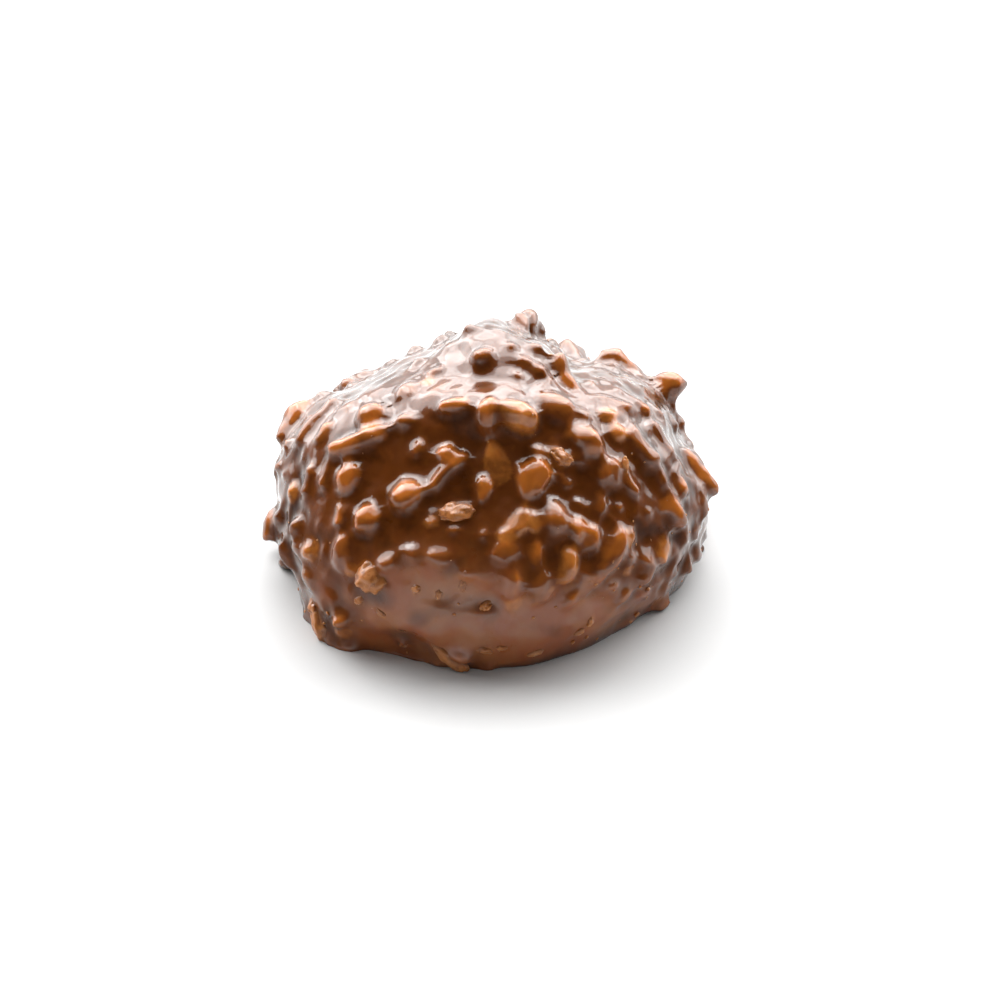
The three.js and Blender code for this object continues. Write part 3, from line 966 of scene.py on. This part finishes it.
def blurred(mesh, values, rounds):
    """Values at the vertices, each averaged with its neighbours a number of times."""
    ends = np.empty(len(mesh.edges) * 2, int)
    mesh.edges.foreach_get("vertices", ends)
    a, b = ends.reshape(-1, 2).T
    count = np.bincount(ends, minlength=len(values))[:, None]
    for _ in range(rounds):
        total = np.zeros_like(values)
        for axis in range(values.shape[1]):
            total[:, axis] = np.bincount(a, values[b, axis], len(values))
            total[:, axis] += np.bincount(b, values[a, axis], len(values))
        values = 0.5 * values + 0.5 * total / count
    return values


def store(mesh, name, values):
    layer = mesh.attributes.new(name, "FLOAT", "POINT")
    layer.data.foreach_set("value", values.astype(np.float32))


THIN_OVER = 0.28 * MM  # a nut shows through less chocolate than this
TAN_OVER = 0.16 * MM  # a bare piece tints chocolate that is thinner than this
FLAT_TONE = 0.26  # the tone of chocolate that lies flat on the core
RISE = 0.75 * MM  # height at which a piece's top stands over the core
EDGE = 0.16 * MM  # how far an edge stands out of what lies round it


def nearness(points, pieces, reach):
    """1 where a point lies close to the pieces, falling to 0 further off."""
    cover = np.array([pieces.find_nearest(point)[3] for point in points])
    return np.clip(1.5 - cover / reach, 0, 1)


def mark_coat(mesh, nuts, bare):
    """Marks the coat for its material.

    The tone is 0 in hollows, as painted shade, and rises to 1 on edges and where a nut lies close under it;
    it rises further on tops that face up and towards the front, as painted light. The rest is where the coat
    is glossy, where it is turned away from the front view and painted darker as shade, where it is thick and
    smooth and painted lighter and redder for the white floor's light, and where a bare piece shows through
    its edge.
    """
    points = vertex_array(mesh)
    thin = nearness(points, nuts, THIN_OVER)
    height = outside(points) - swelling(points)
    around = blurred(mesh, height[:, None], 30)[:, 0]
    edge = np.clip((height - around) / EDGE, -0.35, 1)
    rise = np.clip(height / RISE, -0.6, 1)
    patchy = np.array([noise.noise(Vector(point) * 650) for point in points])
    normals = normal_array(mesh)
    level = normals[:, 2]
    # Painted light as well as a nut showing through: the orange is weighted towards faces that point up.
    through = thin * rising(rise, 0.15, 0.65) * np.clip(0.28 + 2.3 * patchy + 0.6 * edge, 0, 1)
    through *= np.clip(0.45 + 0.9 * level, 0.2, 1)
    facing = blurred(mesh, normals, 40) @ np.array(TO_EYE)
    # Painted light: tops that face up and towards the front are lightened.
    lit = rising(level, 0.35, 0.75) * np.clip(3 * facing - 0.9, 0, 1)
    # Painted shade: low rise and concave edges darken hollows and creases.
    tone_and_shading = FLAT_TONE + 0.2 * rise + 0.2 * edge + 0.5 * through + 0.2 * lit
    tone_and_shading = blurred(mesh, tone_and_shading[:, None], 4)[:, 0]
    store(mesh, "tone_and_shading", np.clip(tone_and_shading, 0, 1))
    skirt = within(SKIRT, points)
    turned = rising(-normals @ np.array(TO_EYE), -0.62, -0.32)
    gloss = rising(tone_and_shading, 0.33, 0.53) + rising(level, 0.5, 0.8) + skirt + turned
    store(mesh, "gloss", np.clip(gloss, 0, 1))
    # Painted shade: the sides turned away from the front view, marked to be painted darker.
    store(mesh, "far_side_shade", 0.85 * rising(-facing, -0.5, -0.1))
    # Painted light: the skirt, marked to be painted lighter and redder for the white floor's light.
    uneven = np.array([noise.noise(Vector(point) * 420) for point in points])
    store(mesh, "milk", np.clip(skirt * (1 + 1.2 * uneven) * (1.15 - through), 0, 1))
    store(mesh, "tan", nearness(points, bare, TAN_OVER) * np.clip(0.6 + 0.5 * edge, 0, 1))


def limit_faces(piece, most):
    """Thins the mesh out to a number of triangles, mostly where it is flat."""
    piece.data.calc_loop_triangles()
    share = most / len(piece.data.loop_triangles)
    if share < 1:
        modified(piece, "thin out", "DECIMATE", ratio=share)
        applied(piece)


def keep_in_box(mesh):
    """Moves what melting and ripples carried out of the solid's box back to it."""
    low, high = (np.array(corner) for corner in CAD_BOX)
    points = np.clip(vertex_array(mesh), low, high)
    mesh.vertices.foreach_set("co", points.ravel())


class HAYSTACK_OT_coat(bpy.types.Operator):
    """Make the milk chocolate coat over the core and its nut pieces"""

    bl_idname = "haystack.coat"
    bl_label = "Chocolate coat"

    def execute(self, context):
        settings = context.scene.haystack_coat
        shapes = Shapes(random.Random(11), 2)
        piece, nuts, bare = coat_base(settings, shapes)
        shapes.free()
        ripple(piece.data, settings.ripple)
        keep_in_box(piece.data)
        limit_faces(piece, settings.faces)
        mark_coat(piece.data, nuts, bare)
        finished(piece, chocolate_material(settings))
        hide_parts(CAD_NODE)
        return {"FINISHED"}


# ---------------------------------------------------------------- the pieces that show bare

FILM = 0.35 * MM  # chocolate climbs this far up a bare piece
CRUMB_FILM = 0.05 * MM
BARE_MARGIN = 0.08 * MM  # how much a bare piece is larger on each side than in the list
CRUMB_SIZES = (0.18 * MM, 0.6 * MM)
CLEAR_OF_FLOOR = 0.4 * MM
CRUMBLY = 12 * MM  # below this height the crumbs get larger towards the foot


def mark_film(mesh, coat, film):
    """1 where a piece is bare and 0 where it meets the coat."""
    bare = []
    for vert in mesh.vertices:
        place, normal, _, _ = coat.find_nearest(vert.co)
        bare.append((vert.co - place).dot(normal) / film)
    store(mesh, "bare", np.clip(np.array(bare), 0, 1))


def joined_piece(name, build, material, coat, film):
    """One mesh of the pieces that a function adds, filmed with chocolate at their feet."""
    bm = bmesh.new()
    build(bm)
    mesh = bpy.data.meshes.new(name)
    bm.to_mesh(mesh)
    bm.free()
    piece = new_object(name, mesh)
    keep_in_box(mesh)
    mark_film(mesh, coat, film)
    finished(piece, material)


def coat_tree():
    coat = bpy.data.objects["chocolate_coat"]
    return BVHTree.FromObject(coat, bpy.context.evaluated_depsgraph_get())


def bare_kind(name, kind, seed, material, lift):
    """The pieces of one shape that the front view shows bare."""
    shapes = Shapes(random.Random(seed), 4)

    def build(bm):
        add_seen(bm, shapes, kind, SEEN[kind, BARE], 1.0, BARE_MARGIN, lift)
        swell(bm)

    joined_piece(name, build, material, coat_tree(), FILM)
    shapes.free()


class HAYSTACK_OT_flakes(bpy.types.Operator):
    """Make the wafer flakes that stand bare out of the coat"""

    bl_idname = "haystack.flakes"
    bl_label = "Wafer flakes"

    def execute(self, context):
        wafer = nut_material("wafer", context.scene.haystack_pieces.wafer, 0.4, 900)
        bare_kind("wafer_flakes", "flake", 21, wafer, 0.14 * MM)
        return {"FINISHED"}


class HAYSTACK_OT_nuts(bpy.types.Operator):
    """Make the chopped nuts that stand bare out of the coat"""

    bl_idname = "haystack.nuts"
    bl_label = "Chopped nuts"

    def execute(self, context):
        nut = nut_material("roasted_nut", context.scene.haystack_pieces.nut, 0.4, 1100)
        bare_kind("chopped_nuts", "crumb", 22, nut, 0.04 * MM)
        return {"FINISHED"}


class HAYSTACK_OT_crumbs(bpy.types.Operator):
    """Make the crumbs scattered over the coat"""

    bl_idname = "haystack.crumbs"
    bl_label = "Crumbs"

    def execute(self, context):
        settings = context.scene.haystack_pieces
        shapes = Shapes(random.Random(23), 1)
        rng = random.Random(24)
        coat = coat_tree()

        def build(bm):
            for _ in range(settings.crumbs):
                towards = Vector((rng.uniform(-1, 1), rng.uniform(-1, 1), rng.uniform(-0.3, 1))).normalized()
                place, out, _, _ = coat.ray_cast(HEART + towards * 40 * MM, -towards)
                length = CRUMB_SIZES[0] + (CRUMB_SIZES[1] - CRUMB_SIZES[0]) * rng.random() ** 2.5
                if place is None or place.z < CLEAR_OF_FLOOR or rng.random() < 1.4 * out.z:
                    continue  # few lie where the coat faces up
                length *= 1.3 - 0.6 * min(1, place.z / CRUMBLY)
                size = (length, length * rng.uniform(0.5, 0.9), length * 0.6)
                level = Vector((-out.y, out.x, 0.001)).normalized()
                place += out * length * rng.uniform(-0.15, 0.1)
                shapes.add(bm, "crumb", size, place, out, level, rng.uniform(0, 180))

        joined_piece("crumbs", build, nut_material("crumb", settings.wafer, 0.45, 2000), coat, CRUMB_FILM)
        shapes.free()
        return {"FINISHED"}


# ---------------------------------------------------------------- the stage

class HAYSTACK_OT_stage(bpy.types.Operator):
    """Make the floor, the lights and the camera"""

    bl_idname = "haystack.stage"
    bl_label = "Studio"

    def execute(self, context):
        settings = context.scene.haystack_stage
        make_floor(settings)
        make_lights(settings)
        make_camera()
        return {"FINISHED"}


def make_floor(settings):
    bm = bmesh.new()
    bmesh.ops.create_grid(bm, x_segments=1, y_segments=1, size=settings.floor_side / 2)
    mesh = bpy.data.meshes.new("floor")
    bm.to_mesh(mesh)
    bm.free()
    floor = new_object("floor", mesh)
    material, _, shader = new_material("white_board")
    shader.inputs["Base Color"].default_value = (0.60, 0.60, 0.60, 1)
    shader.inputs["Roughness"].default_value = 0.9
    shader.inputs["Specular IOR Level"].default_value = 0.1
    mesh.materials.append(material)


def softbox(name, power, width, height, distance, azimuth, climb):
    """A rectangular light that faces the sweet. Azimuth 0 is the front and 180 the back."""
    light = bpy.data.lights.new(name, "AREA")
    light.shape = "RECTANGLE"
    light.size = width
    light.size_y = height
    light.energy = power
    lamp = bpy.data.objects.new(name, light)
    around, up = math.radians(azimuth), math.radians(climb)
    away = Vector((math.sin(around) * math.cos(up), -math.cos(around) * math.cos(up), math.sin(up)))
    lamp.location = AIM + away * distance
    lamp.rotation_mode = "QUATERNION"
    lamp.rotation_quaternion = away.to_track_quat("Z", "Y")
    lamp.visible_camera = False
    bpy.context.scene.collection.objects.link(lamp)
    return lamp


SWEEP = 2.2  # brightness of the white board ahead of the sweet


def make_lights(settings):
    """Softboxes behind, above and at the sides, and a room with a white board that only reflections see."""
    softbox("back_softbox", settings.softbox, 1.4, 1.6, 2.4, 180, 44)
    softbox("diffuser", settings.diffuser, 3.8, 3.0, 2.45, 180, 46)
    softbox("backdrop", settings.backdrop, 9.0, 2.4, 3.0, 180, 20)
    softbox("overhead", settings.overhead, 4.0, 1.8, 2.6, 180, 72).visible_diffuse = False
    softbox("left_softbox", settings.side_light * 1.5, 2.0, 2.2, 2.5, -126, 28)
    softbox("right_softbox", settings.side_light, 2.0, 2.2, 2.5, 126, 28)
    world = bpy.data.worlds.new("room")
    world.use_nodes = True
    tree = world.node_tree
    path = tree.nodes.new("ShaderNodeLightPath")
    climb = tree.nodes.new("ShaderNodeSeparateXYZ")
    tree.links.new(tree.nodes.new("ShaderNodeTexCoord").outputs["Generated"], climb.inputs["Vector"])
    board = ramp(tree, climb.outputs["Z"], [
        (0.0, grey(1.0)), (0.10, grey(0.5)), (0.25, grey(0.12)), (0.45, grey(0.02))])
    ahead = maths(tree, "MULTIPLY", climb.outputs["Y"], -1)
    ahead = ramp(tree, ahead, [(0.5, grey(0.1)), (0.9, grey(1.0))])
    board = maths(tree, "MULTIPLY", board, maths(tree, "MULTIPLY", ahead, SWEEP))
    room = mixed(tree, path.outputs["Is Glossy Ray"], (*grey(settings.fill), 1), board)
    room = mixed(tree, path.outputs["Is Camera Ray"], room, (1, 1, 1, 1))
    tree.links.new(room, tree.nodes["Background"].inputs["Color"])
    bpy.context.scene.world = world
    bpy.context.scene.view_settings.view_transform = "Standard"


def make_camera():
    camera = bpy.data.cameras.new("camera")
    camera.sensor_width = SENSOR
    camera.lens = SENSOR * EYE_DISTANCE / VIEW_WIDTH
    camera.clip_start = 0.01
    camera.clip_end = 20
    holder = bpy.data.objects.new("camera", camera)
    holder.location = EYE
    holder.rotation_mode = "QUATERNION"
    holder.rotation_quaternion = TO_EYE.to_track_quat("Z", "Y")
    bpy.context.scene.collection.objects.link(holder)
    bpy.context.scene.camera = holder


# ---------------------------------------------------------------- the add-on

class HAYSTACK_PT_panel(bpy.types.Panel):
    """Lists the haystack's settings and operators"""

    bl_idname = "HAYSTACK_PT_panel"
    bl_label = "Chocolate haystack"
    bl_space_type = "VIEW_3D"
    bl_region_type = "UI"
    bl_category = "Haystack"

    def draw(self, context):
        for name, operators in SECTIONS.items():
            settings = getattr(context.scene, name)
            for key in settings.__annotations__:
                self.layout.prop(settings, key)
            for operator in operators:
                self.layout.operator(operator.bl_idname)


SECTIONS = {
    "haystack_coat": (HAYSTACK_OT_coat,),
    "haystack_pieces": (HAYSTACK_OT_flakes, HAYSTACK_OT_nuts, HAYSTACK_OT_crumbs),
    "haystack_stage": (HAYSTACK_OT_stage,),
}
GROUPS = {
    "haystack_coat": HAYSTACK_PG_coat,
    "haystack_pieces": HAYSTACK_PG_pieces,
    "haystack_stage": HAYSTACK_PG_stage,
}
CLASSES = (
    *GROUPS.values(), HAYSTACK_OT_coat, HAYSTACK_OT_flakes, HAYSTACK_OT_nuts, HAYSTACK_OT_crumbs,
    HAYSTACK_OT_stage, HAYSTACK_PT_panel)


def register():
    for cls in CLASSES:
        bpy.utils.register_class(cls)
    for name, group in GROUPS.items():
        setattr(bpy.types.Scene, name, PointerProperty(type=group))


def unregister():
    for name in GROUPS:
        delattr(bpy.types.Scene, name)
    for cls in reversed(CLASSES):
        bpy.utils.unregister_class(cls)


def main():
    register()
    bpy.ops.haystack.coat()
    bpy.ops.haystack.flakes()
    bpy.ops.haystack.nuts()
    bpy.ops.haystack.crumbs()
    bpy.ops.haystack.stage()


if __name__ == "__main__":
    main()
